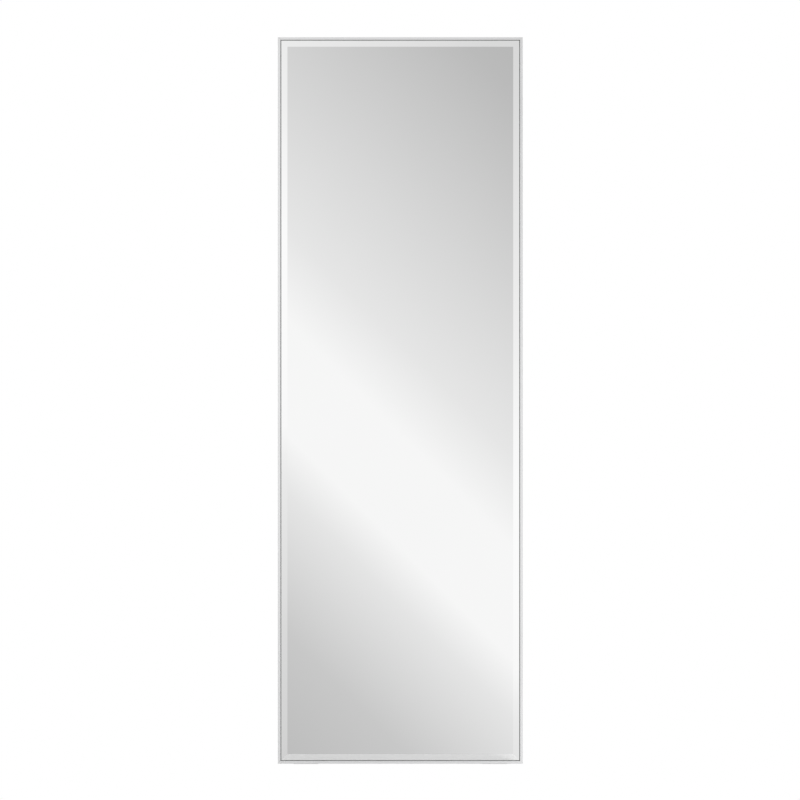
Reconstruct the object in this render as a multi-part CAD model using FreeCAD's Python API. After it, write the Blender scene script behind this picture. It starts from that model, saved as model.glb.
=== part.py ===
"""Leaning floor mirror: a bevelled glass floated in a slim mitred aluminium frame.

Millimetres. +X runs to the viewer's right, +Y from the glass towards the wall, +Z up.
The origin lies on the floor, under the middle of the mirror's box.
Depths are measured from the front face of the frame, and u inwards from its outside faces.
"""
import FreeCAD
import Part
import math
import os

from FreeCAD import Vector

# Frame outline
FRAME_WIDTH = 608.0
FRAME_HEIGHT = 1803.4

# Frame section: a slim rectangular tube with a ledge that carries the backing board
FACE_WIDTH = 6.8
TUBE_WALL = 1.5
LEDGE_WIDTH = 15.0
LEDGE_THICKNESS = 2.0
FRONT_REVEAL = 3.0
REAR_RECESS = 5.5
FACE_EDGE_RADIUS = 0.8
REAR_EDGE_RADIUS = 0.5
LEDGE_TIP_RADIUS = 0.6
LEDGE_ROOT_RADIUS = 0.4

# Glass and the layers on its back
GLASS_GAP = 1.4
GLASS_THICKNESS = 5.0
BEVEL_WIDTH = 15.6
BEVEL_DEPTH = 2.2
EDGE_ARRIS = 0.4
SILVER_THICKNESS = 0.2
FILM_THICKNESS = 0.3
FILM_INSET = 2.0

# Foam tape that bonds the glass to the board
TAPE_COUNT = 5
TAPE_WIDTH = 25.0
TAPE_THICKNESS = 1.0
TAPE_INSET = 30.0

# Rubber blocks that the glass stands on
BLOCK_LENGTH = 50.0
BLOCK_SPACING = 300.0

# Backing board
BOARD_THICKNESS = 9.0
BOARD_CLEARANCE = 0.5

# Corner keys and the set screws that jack them tight in the tube
KEY_LEG = 45.0
KEY_PLAY = 0.3
KEY_SIDE_CLEARANCE = 0.15
KEY_TIP_RADIUS = 0.8
KEY_SCREW_SETBACK = 32.0
SET_SCREW_RADIUS = 1.5
SET_SCREW_SOCKET = 1.5
SET_SCREW_SOCKET_DEPTH = 1.6
ACCESS_CLEARANCE = 0.25

# Pan-head screws
SCREW_RADIUS = 1.7
SCREW_HEAD_RADIUS = 3.3
SCREW_HEAD_HEIGHT = 2.0
SCREW_HEAD_RIM = 0.8
SCREW_TIP = 2.0
SCREW_END_COVER = 1.5
RECESS_WIDTH = 0.9
RECESS_LENGTH = 3.4
RECESS_DEPTH = 1.1
HOLE_CLEARANCE = 0.1
STILE_SCREWS = 6
RAIL_SCREWS = 2
SCREW_SETBACK = 110.0

# Hangers: a folded strap with a ring that swings in its loop
HANGER_SPACING = 406.4
HANGER_DROP = 420.0
STRAP_SHEET = 1.2
STRAP_WIDTH = 14.0
STRAP_JOG_ANGLE = 45.0
STRAP_SCREWS = 2
STRAP_SCREW_PITCH = 13.0
STRAP_END_MARGIN = 7.0
STRAP_END_RADIUS = 6.0
RING_WIRE_RADIUS = 1.6
RING_LENGTH = 22.0
RING_PLAY = 2.5
RING_TOP_RADIUS = 3.5
RING_BOW_RADIUS = 10.0
RING_BORE_CLEARANCE = 0.15
RING_REST_GAP = 0.3
RING_SCREW_GAP = 1.5

# Rubber bumpers on the back and silicone pads underneath
BUMPER_RADIUS = 6.5
BUMPER_TAPER = 1.2
BUMPER_EDGE_RADIUS = 0.9
BUMPER_PROUD = 3.0
BUMPER_SETBACK = 62.0
BUMPER_CLEARANCE = 0.5
PAD_LENGTH = 60.0
PAD_THICKNESS = 0.8
PAD_SETBACK = 40.0
PAD_INSET = 1.0
PAD_CORNER_CUT = 2.0

# Depths of the stack, from the front of the frame to its back
BEVEL_FOOT = FRONT_REVEAL + BEVEL_DEPTH
EDGE_FRONT = BEVEL_FOOT + EDGE_ARRIS
GLASS_BACK = FRONT_REVEAL + GLASS_THICKNESS
SILVER_BACK = GLASS_BACK + SILVER_THICKNESS
FILM_BACK = SILVER_BACK + FILM_THICKNESS
BOARD_FRONT = FILM_BACK + TAPE_THICKNESS
BOARD_BACK = BOARD_FRONT + BOARD_THICKNESS
LEDGE_BACK = BOARD_BACK + LEDGE_THICKNESS
FRAME_DEPTH = LEDGE_BACK + REAR_RECESS

# Places that several pieces share
Y_FRONT = -(FRAME_DEPTH + BUMPER_PROUD) / 2
CENTRE = Vector(0, 0, PAD_THICKNESS + FRAME_HEIGHT / 2)
GLASS_HALF_X = FRAME_WIDTH / 2 - FACE_WIDTH - GLASS_GAP
GLASS_HALF_Z = FRAME_HEIGHT / 2 - FACE_WIDTH - GLASS_GAP
CHAMBER_INNER = FACE_WIDTH - TUBE_WALL
SET_SCREW_DEPTH = (LEDGE_BACK + FRAME_DEPTH - TUBE_WALL) / 2
LEDGE_SCREW_U = FACE_WIDTH + LEDGE_WIDTH / 2

# Hanger geometry, worked out from the ring's wire
LOOP_BORE = RING_WIRE_RADIUS + RING_BORE_CLEARANCE
LOOP_OUTER = LOOP_BORE + STRAP_SHEET
RING_HALF_WIDTH = STRAP_WIDTH / 2 + RING_PLAY + RING_TOP_RADIUS
RING_STANDOFF = 2 * STRAP_SHEET + RING_WIRE_RADIUS + RING_REST_GAP - LOOP_OUTER
RING_REST_TILT = math.degrees(math.asin(RING_STANDOFF / RING_LENGTH))
STRAP_FIRST_SCREW = RING_LENGTH + RING_WIRE_RADIUS + RING_SCREW_GAP + SCREW_HEAD_RADIUS
STRAP_LENGTH = STRAP_FIRST_SCREW + (STRAP_SCREWS - 1) * STRAP_SCREW_PITCH + STRAP_END_MARGIN
PIVOT_Z = CENTRE.z + FRAME_HEIGHT / 2 - HANGER_DROP

# Each member is drawn as the bottom rail and turned by quarters about the middle of the frame
MEMBERS = ("bottom_rail", "left_stile", "top_rail", "right_stile")
SIGNS = {"left": -1, "right": 1, "bottom": -1, "top": 1}


def at_depth(depth):
    """Y of a depth measured from the front of the frame."""
    return Y_FRONT + depth


def block(low, high):
    """A box between two opposite corners."""
    size = high - low
    return Part.makeBox(size.x, size.y, size.z, low)


def panel(half_x, half_z, front, back):
    """A flat panel about the middle of the frame, between two depths."""
    low = Vector(-half_x, at_depth(front), CENTRE.z - half_z)
    high = Vector(half_x, at_depth(back), CENTRE.z + half_z)
    return block(low, high)


def rectangle(half_x, half_z, depth):
    """A rectangular wire about the middle of the frame, at one depth."""
    signs = ((-1, -1), (1, -1), (1, 1), (-1, 1), (-1, -1))
    y = at_depth(depth)
    return Part.makePolygon([Vector(i * half_x, y, CENTRE.z + j * half_z) for i, j in signs])


def corner_arc(before, corner, after, radius):
    """The ends of a tangent arc at a corner, and its edge, or the bare corner where the radius is 0."""
    if radius == 0:
        return corner, corner, None
    back = (before - corner).normalize()
    ahead = (after - corner).normalize()
    half = back.getAngle(ahead) / 2
    centre = corner + (back + ahead).normalize() * (radius / math.sin(half))
    start = corner + back * (radius / math.tan(half))
    end = corner + ahead * (radius / math.tan(half))
    middle = centre + (corner - centre).normalize() * radius
    return start, end, Part.Arc(start, middle, end).toShape()


def rounded_wire(corners, radii):
    """A closed flat wire through the corners, each rounded by its own radius."""
    count = len(corners)
    arcs = []
    for i in range(count):
        arcs.append(corner_arc(corners[i - 1], corners[i], corners[(i + 1) % count], radii[i]))
    edges = []
    for i in range(count):
        if arcs[i][2]:
            edges.append(arcs[i][2])
        edges.append(Part.LineSegment(arcs[i][1], arcs[(i + 1) % count][0]).toShape())
    return Part.Wire(edges)


def spaced(count, half_span):
    """Evenly spaced places from -half_span to +half_span."""
    step = 2 * half_span / (count - 1)
    return [i * step - half_span for i in range(count)]


def is_rail(name):
    return name.endswith("rail")


def half_length(name):
    """Half the outside length of a frame member."""
    return FRAME_WIDTH / 2 if is_rail(name) else FRAME_HEIGHT / 2


def outside_z(name):
    """Z of a member's outside face while it is drawn as the bottom rail."""
    distance = FRAME_HEIGHT / 2 if is_rail(name) else FRAME_WIDTH / 2
    return CENTRE.z - distance


def turned(shape, name):
    """Turns a shape drawn at the bottom rail to where the named member is."""
    copy = shape.copy()
    copy.rotate(CENTRE, Vector(0, 1, 0), 90 * MEMBERS.index(name))
    return copy


def ledge_screw_places(name):
    """Where a member's board screws stand along it."""
    count = RAIL_SCREWS if is_rail(name) else STILE_SCREWS
    return spaced(count, half_length(name) - SCREW_SETBACK)


def set_screw_places(name):
    """Where a member's two set screws stand along it."""
    return spaced(2, half_length(name) - KEY_SCREW_SETBACK)


def section_face(name):
    """The extrusion's section, standing at the left end of a member drawn as the bottom rail."""
    x = -half_length(name)
    tip = FACE_WIDTH + LEDGE_WIDTH
    outline = [
        (0, 0, FACE_EDGE_RADIUS),
        (FACE_WIDTH, 0, FACE_EDGE_RADIUS),
        (FACE_WIDTH, BOARD_BACK, LEDGE_ROOT_RADIUS),
        (tip, BOARD_BACK, LEDGE_TIP_RADIUS),
        (tip, LEDGE_BACK, LEDGE_TIP_RADIUS),
        (FACE_WIDTH, LEDGE_BACK, LEDGE_ROOT_RADIUS),
        (FACE_WIDTH, FRAME_DEPTH, REAR_EDGE_RADIUS),
        (0, FRAME_DEPTH, REAR_EDGE_RADIUS),
    ]
    corners = [Vector(x, at_depth(depth), outside_z(name) + u) for u, depth, _ in outline]
    return Part.Face(rounded_wire(corners, [radius for _, _, radius in outline]))


def mitre_prism(name):
    """What is left of a member between its two 45 degree cuts, drawn past its faces."""
    past = FACE_WIDTH
    foot = half_length(name) + past
    rise = 2 * past + FACE_WIDTH + LEDGE_WIDTH
    y = at_depth(-past)
    z = outside_z(name) - past
    corners = [
        Vector(-foot, y, z),
        Vector(foot, y, z),
        Vector(foot - rise, y, z + rise),
        Vector(rise - foot, y, z + rise),
    ]
    outline = Part.makePolygon(corners + corners[:1])
    return Part.Face(outline).extrude(Vector(0, FRAME_DEPTH + 2 * past, 0))


def key_chamber(name):
    """The hollow of the tube, which takes the corner keys."""
    low = Vector(-half_length(name), at_depth(TUBE_WALL), outside_z(name) + TUBE_WALL)
    high = Vector(half_length(name), at_depth(FRAME_DEPTH - TUBE_WALL), outside_z(name) + CHAMBER_INNER)
    return block(low, high)


def ledge_screw_hole(name, x):
    """A clearance hole through the ledge."""
    radius = SCREW_RADIUS + HOLE_CLEARANCE
    foot = Vector(x, at_depth(BOARD_BACK), outside_z(name) + LEDGE_SCREW_U)
    return Part.makeCylinder(radius, LEDGE_THICKNESS, foot, Vector(0, 1, 0))


def set_screw_bore(name, x, radius, start, end):
    """A cylinder on a set screw's axis, between two values of u."""
    foot = Vector(x, at_depth(SET_SCREW_DEPTH), outside_z(name) + start)
    return Part.makeCylinder(radius, end - start, foot, Vector(0, 0, 1))


def frame_member(name):
    """A mitred length of the extrusion, drilled for its screws."""
    length = 2 * half_length(name)
    member = section_face(name).extrude(Vector(length, 0, 0))
    holes = [key_chamber(name)]
    for x in ledge_screw_places(name):
        holes.append(ledge_screw_hole(name, x))
    access = SET_SCREW_RADIUS + ACCESS_CLEARANCE
    for x in set_screw_places(name):
        holes.append(set_screw_bore(name, x, access, CHAMBER_INNER, FACE_WIDTH))
    return turned(member.cut(holes).common(mitre_prism(name)), name)


def set_screw(name, x):
    """A headless screw that bears on the tube's outside wall, with a hexagon socket facing inwards."""
    start, end = TUBE_WALL, CHAMBER_INNER
    body = set_screw_bore(name, x, SET_SCREW_RADIUS, start, end)
    mouth = Vector(x, at_depth(SET_SCREW_DEPTH), outside_z(name) + end)
    reach = SET_SCREW_SOCKET / math.sqrt(3)
    turns = [math.radians(60 * i) for i in range(7)]
    hexagon = [mouth + Vector(reach * math.cos(a), reach * math.sin(a), 0) for a in turns]
    socket = Part.Face(Part.makePolygon(hexagon)).extrude(Vector(0, 0, -SET_SCREW_SOCKET_DEPTH))
    return turned(body.cut(socket), name)


def set_screws():
    return [set_screw(name, x) for name in MEMBERS for x in set_screw_places(name)]


def corner_key(level, side):
    """An L that slides into the tubes of a rail and a stile, pressed against their inside walls."""
    outer = TUBE_WALL + KEY_PLAY
    inner = CHAMBER_INNER
    outline = [
        (outer, outer, KEY_TIP_RADIUS),
        (KEY_LEG, outer, KEY_TIP_RADIUS),
        (KEY_LEG, inner, KEY_TIP_RADIUS),
        (inner, inner, 0),
        (inner, KEY_LEG, KEY_TIP_RADIUS),
        (outer, KEY_LEG, KEY_TIP_RADIUS),
    ]
    front = TUBE_WALL + KEY_SIDE_CLEARANCE
    depth = FRAME_DEPTH - 2 * front
    corners = []
    for along_x, along_z, _ in outline:
        x = SIGNS[side] * (FRAME_WIDTH / 2 - along_x)
        z = CENTRE.z + SIGNS[level] * (FRAME_HEIGHT / 2 - along_z)
        corners.append(Vector(x, at_depth(front), z))
    face = Part.Face(rounded_wire(corners, [radius for _, _, radius in outline]))
    tapped = SET_SCREW_RADIUS + HOLE_CLEARANCE
    bores = []
    for name in MEMBERS:
        for x in set_screw_places(name):
            bores.append(turned(set_screw_bore(name, x, tapped, 0, FACE_WIDTH), name))
    return face.extrude(Vector(0, depth, 0)).cut(bores)


def mirror_glass():
    """The glass plate, ground to a wide bevel on its front and a fine arris at its edge."""
    foot = EDGE_ARRIS
    steps = [(0, GLASS_BACK), (0, EDGE_FRONT), (foot, BEVEL_FOOT), (BEVEL_WIDTH, FRONT_REVEAL)]
    wires = []
    for inset, depth in steps:
        wires.append(rectangle(GLASS_HALF_X - inset, GLASS_HALF_Z - inset, depth))
    return Part.makeLoft(wires, True, True)


def silver_coating():
    """The silver and its protective paint on the back of the glass."""
    return panel(GLASS_HALF_X, GLASS_HALF_Z, GLASS_BACK, SILVER_BACK)


def safety_film():
    """The vinyl film that holds the glass together if it breaks."""
    return panel(GLASS_HALF_X - FILM_INSET, GLASS_HALF_Z - FILM_INSET, SILVER_BACK, FILM_BACK)


def mounting_tape():
    """Upright strips of foam tape between the film and the board."""
    half_height = GLASS_HALF_Z - TAPE_INSET
    strip = panel(TAPE_WIDTH / 2, half_height, FILM_BACK, BOARD_FRONT)
    places = spaced(TAPE_COUNT, GLASS_HALF_X - TAPE_INSET - TAPE_WIDTH / 2)
    return [strip.translated(Vector(x, 0, 0)) for x in places]


def setting_block(side):
    """A rubber block on the bottom rail, under the ground edge of the glass."""
    foot = CENTRE.z - FRAME_HEIGHT / 2 + FACE_WIDTH
    middle = SIGNS[side] * BLOCK_SPACING / 2
    low = Vector(middle - BLOCK_LENGTH / 2, at_depth(EDGE_FRONT), foot)
    high = Vector(middle + BLOCK_LENGTH / 2, at_depth(BOARD_FRONT), foot + GLASS_GAP)
    return block(low, high)


def pan_screw(length):
    """A pan-head screw with a cross recess, its seat at the origin and its head towards +Z."""
    crown = Vector(0, 0, SCREW_HEAD_HEIGHT)
    rim = Vector(SCREW_HEAD_RADIUS, 0, SCREW_HEAD_RIM)
    drop = SCREW_HEAD_HEIGHT - SCREW_HEAD_RIM
    sphere = (SCREW_HEAD_RADIUS ** 2 + drop ** 2) / (2 * drop)
    half_turn = math.asin(SCREW_HEAD_RADIUS / sphere) / 2
    shoulder = Vector(
        sphere * math.sin(half_turn), 0, SCREW_HEAD_HEIGHT - sphere * (1 - math.cos(half_turn))
    )
    below = [
        crown,
        Vector(0, 0, -length),
        Vector(SCREW_RADIUS, 0, SCREW_TIP - length),
        Vector(SCREW_RADIUS, 0, 0),
        Vector(SCREW_HEAD_RADIUS, 0, 0),
        rim,
    ]
    dome = Part.Arc(rim, shoulder, crown).toShape()
    outline = Part.Wire(Part.makePolygon(below).Edges + [dome])
    body = Part.Face(outline).revolve(Vector(0, 0, 0), Vector(0, 0, 1), 360)
    floor = SCREW_HEAD_HEIGHT - RECESS_DEPTH
    for long_x, long_y in ((RECESS_LENGTH, RECESS_WIDTH), (RECESS_WIDTH, RECESS_LENGTH)):
        half = Vector(long_x / 2, long_y / 2, 0)
        body = body.cut(block(Vector(0, 0, floor) - half, crown + half))
    return body


def screw_from_behind(length, x, seat, z):
    """A screw driven from the back, its head seated at a depth."""
    screw = pan_screw(length)
    screw.rotate(Vector(0, 0, 0), Vector(1, 0, 0), -90)
    screw.translate(Vector(x, at_depth(seat), z))
    return screw


def pilot_hole(length, x, seat, z):
    """The hole that such a screw needs in the board."""
    depth = length - (seat - BOARD_BACK) + HOLE_CLEARANCE
    mouth = Vector(x, at_depth(BOARD_BACK), z)
    return Part.makeCylinder(SCREW_RADIUS + HOLE_CLEARANCE, depth, mouth, Vector(0, -1, 0))


def board_screw_sites():
    """X and Z of each screw that goes through a ledge into the board."""
    sites = []
    for name in MEMBERS:
        for along in ledge_screw_places(name):
            spot = Part.Vertex(Vector(along, 0, outside_z(name) + LEDGE_SCREW_U))
            point = turned(spot, name).Point
            sites.append((point.x, point.z))
    return sites


def hanger_screw_sites():
    """X and Z of each screw that goes through a hanger strap into the board."""
    sites = []
    for side in ("left", "right"):
        for i in range(STRAP_SCREWS):
            sites.append((hanger_x(side), PIVOT_Z - STRAP_FIRST_SCREW - i * STRAP_SCREW_PITCH))
    return sites


def board_screw_length():
    return LEDGE_THICKNESS + BOARD_THICKNESS - SCREW_END_COVER


def hanger_screw_length():
    return 2 * STRAP_SHEET + BOARD_THICKNESS - SCREW_END_COVER


def board_screws():
    length = board_screw_length()
    return [screw_from_behind(length, x, LEDGE_BACK, z) for x, z in board_screw_sites()]


def hanger_screws():
    length = hanger_screw_length()
    seat = BOARD_BACK + 2 * STRAP_SHEET
    return [screw_from_behind(length, x, seat, z) for x, z in hanger_screw_sites()]


def backing_board():
    """The fibreboard panel behind the glass, drilled for its own screws and the hangers'."""
    inset = FACE_WIDTH + BOARD_CLEARANCE
    board = panel(FRAME_WIDTH / 2 - inset, FRAME_HEIGHT / 2 - inset, BOARD_FRONT, BOARD_BACK)
    holes = []
    for x, z in board_screw_sites():
        holes.append(pilot_hole(board_screw_length(), x, LEDGE_BACK, z))
    for x, z in hanger_screw_sites():
        holes.append(pilot_hole(hanger_screw_length(), x, BOARD_BACK + 2 * STRAP_SHEET, z))
    return board.cut(holes)


def hanger_x(side):
    return SIGNS[side] * HANGER_SPACING / 2


def hanger_pivot(side):
    """The middle of the ring's bar in its loop."""
    return Vector(hanger_x(side), at_depth(BOARD_BACK) + LOOP_OUTER, PIVOT_Z)


def loop_outline(radius, flat_y, end_z):
    """A strap's side view about its pivot: up the board, round the loop and down a jog to flat_y."""
    angle = math.radians(STRAP_JOG_ANGLE)
    over = math.radians(180 - STRAP_JOG_ANGLE) / 2
    leave = Vector(0, radius * math.cos(angle), -radius * math.sin(angle))
    slope = (leave.y - flat_y) / math.sin(angle)
    landing = Vector(0, flat_y, leave.z - slope * math.cos(angle))
    rise = Vector(0, -radius, 0)
    top = Vector(0, radius * math.cos(over), radius * math.sin(over))
    loop = Part.Arc(rise, top, leave).toShape()
    foot = [landing, rise]
    if end_z is not None:
        foot = [landing, Vector(0, flat_y, end_z), Vector(0, -radius, end_z), rise]
    return Part.Wire([loop] + Part.makePolygon([leave] + foot).Edges)


def hanger_strap(side):
    """A strip of steel folded round the ring's bar and screwed down through both of its layers."""
    half = STRAP_WIDTH / 2
    across = Vector(STRAP_WIDTH, 0, 0)
    sheet_top = STRAP_SHEET - LOOP_BORE
    strap = Part.Face(loop_outline(LOOP_OUTER, sheet_top, -STRAP_LENGTH)).extrude(across)
    bore = Part.Face(loop_outline(LOOP_BORE, -LOOP_BORE, None)).extrude(across)
    strap = strap.cut(bore).translated(Vector(-half, 0, 0))
    below, above = -LOOP_OUTER, LOOP_OUTER
    corners = [
        Vector(-half, below, -STRAP_LENGTH),
        Vector(half, below, -STRAP_LENGTH),
        Vector(half, below, above),
        Vector(-half, below, above),
    ]
    radii = [STRAP_END_RADIUS, STRAP_END_RADIUS, 0, 0]
    rounded = Part.Face(rounded_wire(corners, radii))
    strap = strap.common(rounded.extrude(Vector(0, above - below, 0)))
    strap.translate(hanger_pivot(side))
    radius = SCREW_RADIUS + HOLE_CLEARANCE
    for x, z in hanger_screw_sites():
        foot = Vector(x, at_depth(BOARD_BACK), z)
        strap = strap.cut(Part.makeCylinder(radius, 2 * STRAP_SHEET, foot, Vector(0, 1, 0)))
    return strap


def d_ring(side):
    """A closed ring of round wire, hanging from the loop with its bow resting just off the strap."""
    width = RING_HALF_WIDTH
    corners = [
        Vector(-width, 0, 0),
        Vector(-width, 0, -RING_LENGTH),
        Vector(width, 0, -RING_LENGTH),
        Vector(width, 0, 0),
    ]
    radii = [RING_TOP_RADIUS, RING_BOW_RADIUS, RING_BOW_RADIUS, RING_TOP_RADIUS]
    path = rounded_wire(corners, radii)
    start = path.Edges[0].valueAt(path.Edges[0].FirstParameter)
    heading = path.Edges[0].tangentAt(path.Edges[0].FirstParameter)
    circle = Part.Wire(Part.makeCircle(RING_WIRE_RADIUS, start, heading))
    ring = path.makePipeShell([circle], True, True)
    ring.rotate(Vector(0, 0, 0), Vector(1, 0, 0), RING_REST_TILT)
    ring.translate(hanger_pivot(side))
    return ring


def wall_bumper(level, side):
    """A tapered rubber bumper on a stile's ledge, standing proud of the frame's back."""
    height = REAR_RECESS + BUMPER_PROUD
    top = BUMPER_RADIUS - BUMPER_TAPER
    corners = [
        Vector(0, 0, 0),
        Vector(BUMPER_RADIUS, 0, 0),
        Vector(top, 0, height),
        Vector(0, 0, height),
    ]
    outline = rounded_wire(corners, [0, 0, BUMPER_EDGE_RADIUS, 0])
    bumper = Part.Face(outline).revolve(Vector(0, 0, 0), Vector(0, 0, 1), 360)
    bumper.rotate(Vector(0, 0, 0), Vector(1, 0, 0), -90)
    inset = FACE_WIDTH + BUMPER_CLEARANCE + BUMPER_RADIUS
    x = SIGNS[side] * (FRAME_WIDTH / 2 - inset)
    z = CENTRE.z + SIGNS[level] * (FRAME_HEIGHT / 2 - BUMPER_SETBACK)
    bumper.translate(Vector(x, at_depth(LEDGE_BACK), z))
    return bumper


def floor_pad(side):
    """A thin silicone pad under the bottom rail, with snipped corners."""
    long = PAD_LENGTH / 2
    deep = FRAME_DEPTH / 2 - PAD_INSET
    middle = Vector(SIGNS[side] * (FRAME_WIDTH / 2 - PAD_SETBACK - long), at_depth(FRAME_DEPTH / 2), 0)
    corners = []
    for i, j in ((1, 1), (-1, 1), (-1, -1), (1, -1)):
        beside = middle + Vector(i * long, j * (deep - PAD_CORNER_CUT), 0)
        beyond = middle + Vector(i * (long - PAD_CORNER_CUT), j * deep, 0)
        corners += [beside, beyond] if i == j else [beyond, beside]
    outline = Part.makePolygon(corners + corners[:1])
    return Part.Face(outline).extrude(Vector(0, 0, PAD_THICKNESS))


def pieces():
    """Every piece of the mirror by its node's name, with alike loose pieces in one list."""
    nodes = {name: [frame_member(name)] for name in MEMBERS}
    for level in ("top", "bottom"):
        for side in ("left", "right"):
            nodes[f"corner_key_{level}_{side}"] = [corner_key(level, side)]
            nodes[f"wall_bumper_{level}_{side}"] = [wall_bumper(level, side)]
    for side in ("left", "right"):
        nodes[f"setting_block_{side}"] = [setting_block(side)]
        nodes[f"floor_pad_{side}"] = [floor_pad(side)]
        nodes[f"hanger_strap_{side}"] = [hanger_strap(side)]
        nodes[f"d_ring_{side}"] = [d_ring(side)]
    nodes["corner_set_screws"] = set_screws()
    nodes["mirror_glass"] = [mirror_glass()]
    nodes["silver_coating"] = [silver_coating()]
    nodes["safety_film"] = [safety_film()]
    nodes["mounting_tape"] = mounting_tape()
    nodes["backing_board"] = [backing_board()]
    nodes["board_screws"] = board_screws()
    nodes["hanger_screws"] = hanger_screws()
    return nodes


def main():
    os.makedirs("parts", exist_ok=True)
    for name, shapes in pieces().items():
        solids = [solid for shape in shapes for solid in shape.Solids]
        sound = all(solid.isValid() and solid.Volume > 0 for solid in solids)
        Part.makeCompound(solids).exportStep(f"parts/{name}.step")
        print(f"{name}: {len(solids)} solid(s), valid {sound}, {sum(s.Volume for s in solids):.1f} mm3")


if __name__ == "__main__":
    main()
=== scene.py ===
"""Looks of the leaning floor mirror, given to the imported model, and the white studio that it stands in.

Metres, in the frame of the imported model: +X to the viewer's right, +Y towards the wall, +Z up.
"""

import math

import bmesh
import bpy
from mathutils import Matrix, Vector


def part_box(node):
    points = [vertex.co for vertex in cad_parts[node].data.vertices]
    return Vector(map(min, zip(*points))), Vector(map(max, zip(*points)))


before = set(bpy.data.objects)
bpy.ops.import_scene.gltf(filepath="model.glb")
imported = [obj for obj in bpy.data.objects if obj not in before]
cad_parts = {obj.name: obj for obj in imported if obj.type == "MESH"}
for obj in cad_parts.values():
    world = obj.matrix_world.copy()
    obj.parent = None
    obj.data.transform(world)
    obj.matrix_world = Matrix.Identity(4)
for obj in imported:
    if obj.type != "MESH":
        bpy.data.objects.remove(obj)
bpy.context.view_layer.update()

# Where the mirror stands in the 800 pixel square picture
PICTURE = 800
MIRROR_HEIGHT_PX = 726.5
MIRROR_CENTRE_PX = (400.3, 400.4)
CAMERA_DISTANCE = 2.5

# The mirror's outline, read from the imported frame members
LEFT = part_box("left_stile")[0].x
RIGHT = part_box("right_stile")[1].x
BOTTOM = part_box("bottom_rail")[0].z
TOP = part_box("top_rail")[1].z
HALF_WIDTH = (RIGHT - LEFT) / 2
HALF_HEIGHT = (TOP - BOTTOM) / 2
MIDDLE_Z = (TOP + BOTTOM) / 2

# Words that the names of nodes share
SIDES = ("left", "right")
CORNERS = [f"{level}_{side}" for level in ("top", "bottom") for side in SIDES]

# Smooth shading stops at edges sharper than this, and the plate's sides face less forward than this
SHARP_ANGLE = math.radians(30)
SIDEWAYS = 0.5

# Satin aluminium: tones, streaks of grain to a metre, and the mitre's hairline from its core to its edge
ALUMINIUM_TONES = ((0.88, 0.88, 0.885), (0.92, 0.92, 0.922))
ALUMINIUM_CLOUD = (0.86, 0.865, 0.87)
GRAIN_ACROSS = 3200.0
GRAIN_ALONG = 14.0
SEAM_TONE = (0.35, 0.35, 0.35)
SEAM_REACH = (0.00006, 0.00022)

# Silvered glass: tones, how far its dull edge reaches and wavers, and the tones of its ground sides
SILVER_TONES = ((0.957, 0.958, 0.957), (0.963, 0.964, 0.963))
DULL_TONE = (0.80, 0.81, 0.80)
DULL_REACH = (0.0002, 0.0014)
DULL_WAVER = 0.0001
GROUND_TONES = ((0.30, 0.42, 0.37), (0.38, 0.50, 0.45))
GLASS_IOR = 1.52

# Painted board, plated steel, rubber and the layers behind the glass
PAINT_TONES = ((0.012, 0.012, 0.013), (0.022, 0.022, 0.023))
STIPPLE_TONE = (0.040, 0.040, 0.041)
DUST_TONE = (0.20, 0.19, 0.18)
ZINC_TONES = ((0.60, 0.60, 0.58), (0.50, 0.51, 0.53))
NICKEL_TONES = ((0.70, 0.68, 0.64), (0.64, 0.63, 0.60))
MILL_TONES = ((0.70, 0.70, 0.70), (0.62, 0.62, 0.63))
SCRATCH_STRETCH = (9000.0, 2500.0, 500.0)
RUBBER_TONES = ((0.018, 0.018, 0.018), (0.034, 0.034, 0.035))
SILICONE_TONES = ((0.80, 0.80, 0.79), (0.86, 0.86, 0.85))
FILM_TONE = (0.55, 0.55, 0.56)
FOAM_TONE = (0.75, 0.75, 0.72)
CELL_SHADE = 0.9

# Round studio backdrop that the glass and metal reflect, clear at its start and solid from SWEEP_FULL on
SWEEP_DISTANCE = 3.2
SWEEP_COVE = 1.0
SWEEP_START = 0.5
SWEEP_FULL = 1.6
SWEEP_LIFT = 0.001
SWEEP_TOP = 7.0
SWEEP_STEPS = 24
SWEEP_SIDES = 96

# Its diagonal bands and its lift towards white: places along the diagonal, with a grey or a share for each
BAND_HEIGHT = 0.678
BAND_TONES = (
    (-0.85, 0.47),
    (-0.45, 0.60),
    (-0.20, 0.815),
    (-0.10, 0.96),
    (0.10, 0.96),
    (0.26, 0.82),
    (0.90, 0.515),
    (1.15, 0.46),
)
RIM_LIFTS = (
    (-0.70, 0.30),
    (-0.40, 0.32),
    (-0.15, 0.12),
    (0.02, 1.0),
    (0.22, 1.0),
    (0.45, 0.66),
    (0.95, 0.45),
)

# How far outside the mirror's outline the lift is full, and how far the bands stand still before it fades
OUTSIDE_REACH = 0.7
OUTSIDE_HOLD = 1.3

# Floor and light
WHITE = (1, 1, 1)
FLOOR_RADIUS = 12.0
FLOOR_SIDES = 96
FLOOR_TONE = (0.80, 0.80, 0.80)
FLOOR_FADE = (1.2, 4.0)
WORLD_DIFFUSE = 0.72
KEY_PLACE = (2.0, -2.6, 3.2)
KEY_POWER = 70.0
BACK_PLACE = (2.2, 2.8, 2.6)
BACK_POWER = 60.0
LAMP_SIZE = 2.0

# The Mix node's sockets for colours, which share their names with its sockets for numbers
MIX_FIRST, MIX_SECOND = 6, 7
MIX_RESULT = 2


# Helpers for node trees
def add(tree, kind, inputs=None, **settings):
    """Adds a node, sets its properties, and fills its sockets with values or links."""
    node = tree.nodes.new(kind)
    for name, value in settings.items():
        setattr(node, name, value)
    for name, value in (inputs or {}).items():
        if isinstance(value, bpy.types.NodeSocket):
            tree.links.new(value, node.inputs[name])
        else:
            node.inputs[name].default_value = value
    return node


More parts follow.
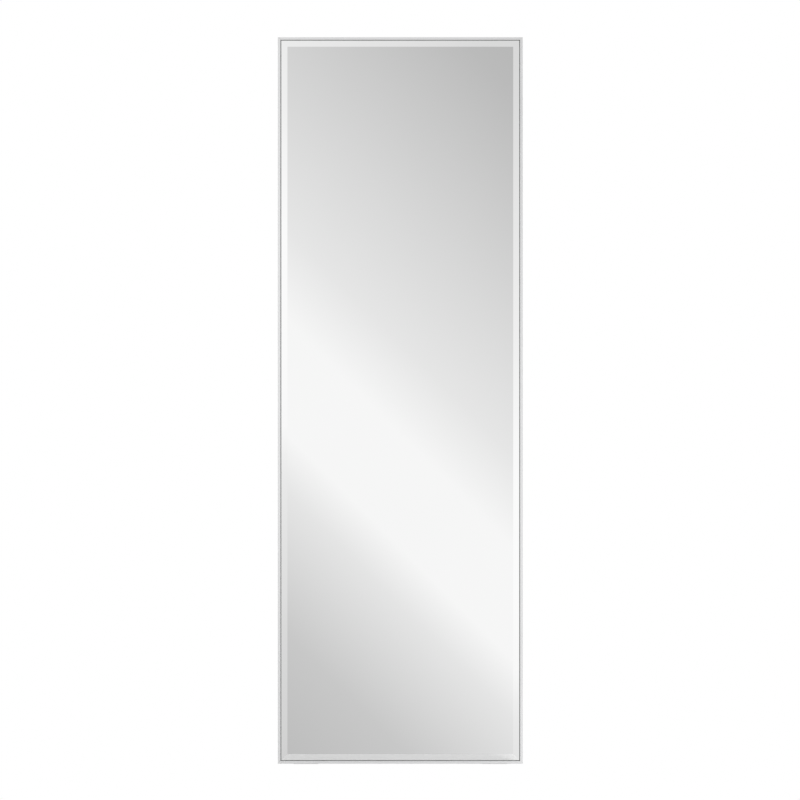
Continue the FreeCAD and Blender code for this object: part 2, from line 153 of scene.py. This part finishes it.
def math_node(tree, operation, first, second=0.0):
    return add(tree, "ShaderNodeMath", {0: first, 1: second}, operation=operation).outputs[0]


def clamped(tree, value, low, high):
    return add(tree, "ShaderNodeClamp", {0: value, 1: low, 2: high}).outputs[0]


def places(tree, stretch=(1, 1, 1)):
    """Object coordinates in metres, stretched along each axis."""
    coordinates = add(tree, "ShaderNodeTexCoord").outputs["Object"]
    return add(tree, "ShaderNodeMapping", {"Vector": coordinates, "Scale": stretch}).outputs[0]


def noise(tree, vector, scale, detail=3.0, roughness=0.5):
    inputs = {"Vector": vector, "Scale": scale, "Detail": detail, "Roughness": roughness}
    return add(tree, "ShaderNodeTexNoise", inputs).outputs["Fac"]


def spread(tree, value, low, high, start=0.35, end=0.65):
    """Maps start to end, as a rule the middle of a noise, onto low to high, and stops at the ends."""
    inputs = {"Value": value, "From Min": start, "From Max": end, "To Min": low, "To Max": high}
    return add(tree, "ShaderNodeMapRange", inputs).outputs[0]


def blend(tree, factor, first, second):
    """Mixes two colours, which may be sockets."""
    node = add(tree, "ShaderNodeMix", {"Factor": factor}, data_type="RGBA")
    for place, value in ((MIX_FIRST, first), (MIX_SECOND, second)):
        if isinstance(value, bpy.types.NodeSocket):
            tree.links.new(value, node.inputs[place])
        else:
            node.inputs[place].default_value = (*value, 1)
    return node.outputs[MIX_RESULT]


def mottled(tree, value, tones):
    """A colour between two tones, by a noise."""
    return blend(tree, spread(tree, value, 0.0, 1.0), *tones)


def bumped(tree, height, strength, distance):
    inputs = {"Height": height, "Strength": strength, "Distance": distance}
    return add(tree, "ShaderNodeBump", inputs).outputs[0]


def curve(tree, value, points):
    """A line from point to point, each a place and a grey."""
    first, last = points[0][0], points[-1][0]
    ramp = add(tree, "ShaderNodeValToRGB", {0: spread(tree, value, 0.0, 1.0, first, last)})
    stops = ramp.color_ramp.elements
    while len(stops) < len(points):
        stops.new(0.5)
    for stop, (place, tone) in zip(stops, points):
        stop.position = (place - first) / (last - first)
        stop.color = (tone, tone, tone, 1)
    return ramp.outputs[0]


def edge_distances(tree, half_width, half_height):
    """How far a place is from the sides and from the ends of a rectangle about the mirror's middle."""
    split = add(tree, "ShaderNodeSeparateXYZ", {0: places(tree)})
    across = math_node(tree, "ABSOLUTE", split.outputs["X"])
    up = math_node(tree, "ABSOLUTE", math_node(tree, "SUBTRACT", split.outputs["Z"], MIDDLE_Z))
    return math_node(tree, "SUBTRACT", half_width, across), math_node(tree, "SUBTRACT", half_height, up)


def material(name):
    """An empty node material and its tree."""
    made = bpy.data.materials.new(name)
    made.use_nodes = True
    made.node_tree.nodes.clear()
    return made, made.node_tree


def finish_with(tree, shader):
    """Ends a material's tree with a shader."""
    add(tree, "ShaderNodeOutputMaterial", {"Surface": shader.outputs[0]})


def surface(tree, inputs):
    """Ends a material's tree with a Principled shader."""
    finish_with(tree, add(tree, "ShaderNodeBsdfPrincipled", inputs))


# Materials
def mitre_seam(tree):
    """1 on the hairline where a rail meets a stile, 0 elsewhere."""
    from_side, from_end = edge_distances(tree, HALF_WIDTH, HALF_HEIGHT)
    apart = math_node(tree, "ABSOLUTE", math_node(tree, "SUBTRACT", from_side, from_end))
    return spread(tree, apart, 1.0, 0.0, *SEAM_REACH)


def satin_aluminium(name, along):
    """Anodised aluminium with a fine grain along the extrusion and a dark hairline at its mitres."""
    made, tree = material(name)
    stretch = [GRAIN_ACROSS] * 3
    stretch["XYZ".index(along)] = GRAIN_ALONG
    grain = noise(tree, places(tree, stretch), scale=1.0, detail=4.0, roughness=0.6)
    cloud = noise(tree, places(tree), scale=9.0, detail=2.0)
    tone = mottled(tree, grain, ALUMINIUM_TONES)
    tone = blend(tree, spread(tree, cloud, low=0.0, high=0.25), tone, ALUMINIUM_CLOUD)
    rough = spread(tree, grain, low=0.27, high=0.36)
    surface(tree, {
        "Base Color": blend(tree, mitre_seam(tree), tone, SEAM_TONE),
        "Metallic": 1.0,
        "Roughness": math_node(tree, "ADD", rough, spread(tree, cloud, low=-0.02, high=0.03)),
        "Normal": bumped(tree, grain, strength=0.12, distance=0.00002),
    })
    return made


def silvered(name):
    """Silvered glass, a little duller in the last millimetre before its edge."""
    made, tree = material(name)
    glass_low, glass_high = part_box("mirror_glass")
    from_edges = edge_distances(tree, glass_high.x, (glass_high.z - glass_low.z) / 2)
    nearest = math_node(tree, "MINIMUM", *from_edges)
    waver = spread(tree, noise(tree, places(tree), scale=160.0, detail=4.0), -DULL_WAVER, DULL_WAVER)
    dulled = spread(tree, math_node(tree, "ADD", nearest, waver), 1.0, 0.0, *DULL_REACH)
    tone = mottled(tree, noise(tree, places(tree), scale=2.5, detail=2.0), SILVER_TONES)
    surface(tree, {
        "Base Color": blend(tree, dulled, tone, DULL_TONE),
        "Metallic": 1.0,
        "Roughness": 0.0,
    })
    return made


def glass_edge():
    """The ground edge of the plate, where the green of the glass shows."""
    made, tree = material("glass_edge")
    grind = noise(tree, places(tree), scale=1800.0)
    surface(tree, {
        "Base Color": mottled(tree, grind, GROUND_TONES),
        "Roughness": spread(tree, grind, low=0.16, high=0.28),
        "IOR": GLASS_IOR,
    })
    return made


def painted_fibreboard():
    """Matt black paint with a roller's stipple, on fibreboard, with a little dust."""
    made, tree = material("painted_fibreboard")
    where = places(tree)
    stipple = noise(tree, where, scale=850.0)
    fibre = noise(tree, where, scale=160.0, detail=5.0, roughness=0.65)
    dust = noise(tree, where, scale=5.0, detail=6.0, roughness=0.7)
    tone = mottled(tree, fibre, PAINT_TONES)
    tone = blend(tree, spread(tree, stipple, low=0.0, high=0.6), tone, STIPPLE_TONE)
    tone = blend(tree, spread(tree, dust, low=0.0, high=0.12, start=0.5, end=0.75), tone, DUST_TONE)
    surface(tree, {
        "Base Color": tone,
        "Roughness": spread(tree, stipple, low=0.45, high=0.70),
        "Normal": bumped(tree, stipple, strength=0.7, distance=0.0004),
    })
    return made


def plated_steel(name, tones, shine, scale):
    """Plated steel or bare aluminium, clouded and finely scratched."""
    made, tree = material(name)
    cloud = noise(tree, places(tree), scale)
    scratch = noise(tree, places(tree, SCRATCH_STRETCH), scale=1.0, roughness=0.7)
    surface(tree, {
        "Base Color": mottled(tree, cloud, tones),
        "Metallic": 1.0,
        "Roughness": math_node(tree, "ADD", spread(tree, scratch, low=0.0, high=0.09), shine),
        "Normal": bumped(tree, scratch, strength=0.08, distance=0.00002),
    })
    return made


def rubber(name, tones):
    """Moulded rubber or silicone with a fine matt skin."""
    made, tree = material(name)
    where = places(tree)
    skin = noise(tree, where, scale=2600.0, detail=2.0)
    bloom = noise(tree, where, scale=140.0, detail=4.0)
    surface(tree, {
        "Base Color": mottled(tree, bloom, tones),
        "Roughness": spread(tree, bloom, low=0.66, high=0.82),
        "Normal": bumped(tree, skin, strength=0.3, distance=0.00008),
    })
    return made


def hidden_layer(name, tone, scale):
    """A matt layer between the glass and the board, with the texture of its cells or weave."""
    made, tree = material(name)
    cells = noise(tree, places(tree), scale)
    darker = tuple(CELL_SHADE * value for value in tone)
    surface(tree, {
        "Base Color": mottled(tree, cells, (tone, darker)),
        "Roughness": spread(tree, cells, low=0.55, high=0.75),
        "Normal": bumped(tree, cells, strength=0.2, distance=0.0001),
    })
    return made


# Which node gets which material
def dress(nodes, look):
    """Gives carried-over nodes a material, with smooth faces between sharp edges."""
    for name in nodes:
        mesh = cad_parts[name].data
        mesh.materials.clear()
        mesh.materials.append(look)
        mesh.polygons.foreach_set("use_smooth", [True] * len(mesh.polygons))
        mesh.set_sharp_from_angle(angle=SHARP_ANGLE)


def dress_glass():
    """Silvers the plate, and puts the ground look on its sides."""
    dress(["mirror_glass"], silvered("silvered_glass"))
    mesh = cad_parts["mirror_glass"].data
    mesh.materials.append(glass_edge())
    for face in mesh.polygons:
        face.material_index = int(abs(face.normal.y) < SIDEWAYS)


def dress_nodes():
    """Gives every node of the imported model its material."""
    zinc = plated_steel("zinc_plate", ZINC_TONES, shine=0.30, scale=260.0)
    nickel = plated_steel("nickel_wire", NICKEL_TONES, shine=0.16, scale=180.0)
    mill = plated_steel("mill_aluminium", MILL_TONES, shine=0.36, scale=90.0)
    dress(["top_rail", "bottom_rail"], satin_aluminium("satin_rail", "X"))
    dress(["left_stile", "right_stile"], satin_aluminium("satin_stile", "Z"))
    dress_glass()
    dress(["silver_coating"], silvered("silvering"))
    dress(["backing_board"], painted_fibreboard())
    dress(["safety_film"], hidden_layer("vinyl_film", FILM_TONE, scale=700.0))
    dress(["mounting_tape"], hidden_layer("foam_tape", FOAM_TONE, scale=1500.0))
    dress(["board_screws", "hanger_screws", "corner_set_screws"], zinc)
    dress([f"hanger_strap_{side}" for side in SIDES], zinc)
    dress([f"d_ring_{side}" for side in SIDES], nickel)
    dress([f"corner_key_{corner}" for corner in CORNERS], mill)
    soft = [f"wall_bumper_{corner}" for corner in CORNERS] + [f"setting_block_{side}" for side in SIDES]
    dress(soft, rubber("black_rubber", RUBBER_TONES))
    dress([f"floor_pad_{side}" for side in SIDES], rubber("pale_silicone", SILICONE_TONES))


# The studio: backdrop, floor, light and camera
def placed(name, data):
    """Adds an object to the scene."""
    made = bpy.data.objects.new(name, data)
    bpy.context.scene.collection.objects.link(made)
    return made


def mesh_object(name, shape, look):
    """Adds a finished shape to the scene, with its material."""
    mesh = bpy.data.meshes.new(name)
    shape.to_mesh(mesh)
    shape.free()
    mesh.materials.append(look)
    return placed(name, mesh)


def held(tree, value, low, high):
    """A place that stops at the mirror's edge for a stretch and goes on further out."""
    reach = clamped(tree, value, low - OUTSIDE_HOLD, high + OUTSIDE_HOLD)
    further = math_node(tree, "SUBTRACT", value, reach)
    return math_node(tree, "ADD", clamped(tree, value, low, high), further)


def diagonal(tree, across, up):
    """Distance from the middle of the bright band, upwards to the right."""
    from_band = math_node(tree, "SUBTRACT", math_node(tree, "ADD", across, up), BAND_HEIGHT)
    return math_node(tree, "MULTIPLY", from_band, math.sqrt(0.5))


def band_tones(tree, place):
    """Soft diagonal bands, as a grey for each place along the diagonal."""
    first, last = BAND_TONES[0][0], BAND_TONES[-1][0]
    back_and_forth = math_node(tree, "PINGPONG", math_node(tree, "SUBTRACT", place, first), last - first)
    return curve(tree, math_node(tree, "ADD", back_and_forth, first), BAND_TONES)


def distance_outside(tree, value, low, high):
    """How far a place is past either end of a stretch."""
    past = math_node(tree, "SUBTRACT", value, clamped(tree, value, low, high))
    return math_node(tree, "ABSOLUTE", past)


def rim_lift(tree, across, up, place):
    """How far the sweep goes towards white round the part that the flat glass shows."""
    beside = distance_outside(tree, across, LEFT, RIGHT)
    outside = math_node(tree, "MAXIMUM", beside, distance_outside(tree, up, BOTTOM, TOP))
    rise = spread(tree, outside, 0.0, 1.0, 0.0, OUTSIDE_REACH)
    fall = spread(tree, outside, 1.0, 0.0, OUTSIDE_HOLD, 2 * OUTSIDE_HOLD)
    share = math_node(tree, "MULTIPLY", rise, fall)
    return math_node(tree, "MULTIPLY", curve(tree, place, RIM_LIFTS), share)


def sweep_places(tree):
    """Distance from the middle, way round from the front, and height, which is below zero on the floor."""
    split = add(tree, "ShaderNodeSeparateXYZ", {0: places(tree)})
    x, y = split.outputs["X"], split.outputs["Y"]
    squares = math_node(tree, "ADD", math_node(tree, "MULTIPLY", x, x), math_node(tree, "MULTIPLY", y, y))
    out = math_node(tree, "SQRT", squares)
    turn = math_node(tree, "ARCTAN2", x, math_node(tree, "MULTIPLY", y, -1.0))
    from_cove = math_node(tree, "SUBTRACT", out, SWEEP_DISTANCE - SWEEP_COVE)
    on_floor = math_node(tree, "MINIMUM", from_cove, 0.0)
    return out, math_node(tree, "MULTIPLY", out, turn), math_node(tree, "ADD", split.outputs["Z"], on_floor)


def sweep_look():
    """Light that the sweep gives off: diagonal bands, brighter round what the flat glass shows."""
    made, tree = material("sweep_light")
    out, across, up = sweep_places(tree)
    place = diagonal(tree, held(tree, across, LEFT, RIGHT), held(tree, up, BOTTOM, TOP))
    tone = blend(tree, rim_lift(tree, across, up, place), band_tones(tree, place), WHITE)
    glow = add(tree, "ShaderNodeEmission", {"Color": tone})
    clear = add(tree, "ShaderNodeBsdfTransparent")
    fade = spread(tree, out, 0.0, 1.0, SWEEP_START, SWEEP_FULL)
    finish_with(tree, add(tree, "ShaderNodeMixShader", {0: fade, 1: clear.outputs[0], 2: glow.outputs[0]}))
    return made


def sweep_profile():
    """Distance and height of the backdrop's line: along the floor, round the cove and up."""
    inner = SWEEP_DISTANCE - SWEEP_COVE
    line = [(SWEEP_START, SWEEP_LIFT)]
    for i in range(SWEEP_STEPS + 1):
        angle = math.radians(90 * i / SWEEP_STEPS)
        height = SWEEP_COVE * (1 - math.cos(angle))
        line.append((inner + SWEEP_COVE * math.sin(angle), SWEEP_LIFT + height))
    return line + [(SWEEP_DISTANCE, SWEEP_TOP)]


def studio_sweep():
    """A backdrop that rises from the floor all round the mirror, seen only in reflections."""
    shape = bmesh.new()
    points = [shape.verts.new((0, -out, up)) for out, up in sweep_profile()]
    edges = [shape.edges.new(pair) for pair in zip(points, points[1:])]
    bmesh.ops.spin(
        shape, geom=points + edges, cent=(0, 0, 0), axis=(0, 0, 1), angle=math.tau, steps=SWEEP_SIDES,
        use_merge=True,
    )
    sweep = mesh_object("studio_sweep", shape, sweep_look())
    sweep.visible_camera = False
    sweep.visible_diffuse = False
    sweep.visible_shadow = False


def floor_look():
    """Pale and matt near the mirror, fading to white further off."""
    made, tree = material("studio_floor")
    distance = add(tree, "ShaderNodeVectorMath", {0: places(tree)}, operation="LENGTH").outputs["Value"]
    fade = spread(tree, distance, 0.0, 1.0, *FLOOR_FADE)
    lit = add(tree, "ShaderNodeBsdfDiffuse", {"Color": (*FLOOR_TONE, 1)})
    white = add(tree, "ShaderNodeEmission", {"Color": (*WHITE, 1), "Strength": 1.0})
    finish_with(tree, add(tree, "ShaderNodeMixShader", {0: fade, 1: lit.outputs[0], 2: white.outputs[0]}))
    return made


def studio_floor():
    """A pale floor that keeps the mirror's shadow."""
    shape = bmesh.new()
    bmesh.ops.create_circle(shape, cap_ends=True, segments=FLOOR_SIDES, radius=FLOOR_RADIUS)
    mesh_object("studio_floor", shape, floor_look())


def studio_world():
    """White to the eye and in reflections, and a plain soft level for matt surfaces."""
    world = bpy.data.worlds.new("studio_world")
    world.use_nodes = True
    tree = world.node_tree
    tree.nodes.clear()
    path = add(tree, "ShaderNodeLightPath")
    seen = math_node(tree, "ADD", path.outputs["Is Camera Ray"], path.outputs["Is Glossy Ray"])
    seen = math_node(tree, "ADD", seen, path.outputs["Is Transmission Ray"])
    strength = spread(tree, seen, WORLD_DIFFUSE, 1.0, 0.0, 1.0)
    light = add(tree, "ShaderNodeBackground", {"Color": (*WHITE, 1), "Strength": strength})
    add(tree, "ShaderNodeOutputWorld", {"Surface": light.outputs[0]})
    bpy.context.scene.world = world


def lamp(name, place, power):
    """A large soft lamp aimed at the middle of the mirror, kept out of the glass."""
    data = bpy.data.lights.new(name, "AREA")
    data.shape = "SQUARE"
    data.size = LAMP_SIZE
    data.energy = power
    made = placed(name, data)
    made.location = place
    aim = Vector((0, 0, MIDDLE_Z)) - Vector(place)
    made.rotation_euler = aim.to_track_quat("-Z", "Y").to_euler()
    made.visible_glossy = False
    made.visible_transmission = False


def camera():
    """A straight, parallel view that puts the mirror where the picture has it."""
    pixel = 2 * HALF_HEIGHT / MIRROR_HEIGHT_PX
    data = bpy.data.cameras.new("camera")
    data.type = "ORTHO"
    data.ortho_scale = PICTURE * pixel
    made = placed("camera", data)
    right = (PICTURE / 2 - MIRROR_CENTRE_PX[0]) * pixel
    up = (MIRROR_CENTRE_PX[1] - PICTURE / 2) * pixel
    made.location = (right, -CAMERA_DISTANCE, MIDDLE_Z + up)
    made.rotation_euler = (math.radians(90), 0, 0)
    bpy.context.scene.camera = made


dress_nodes()
studio_sweep()
studio_floor()
studio_world()
lamp("key_lamp", KEY_PLACE, KEY_POWER)
lamp("back_lamp", BACK_PLACE, BACK_POWER)
camera()
bpy.context.scene.view_settings.view_transform = "Standard"
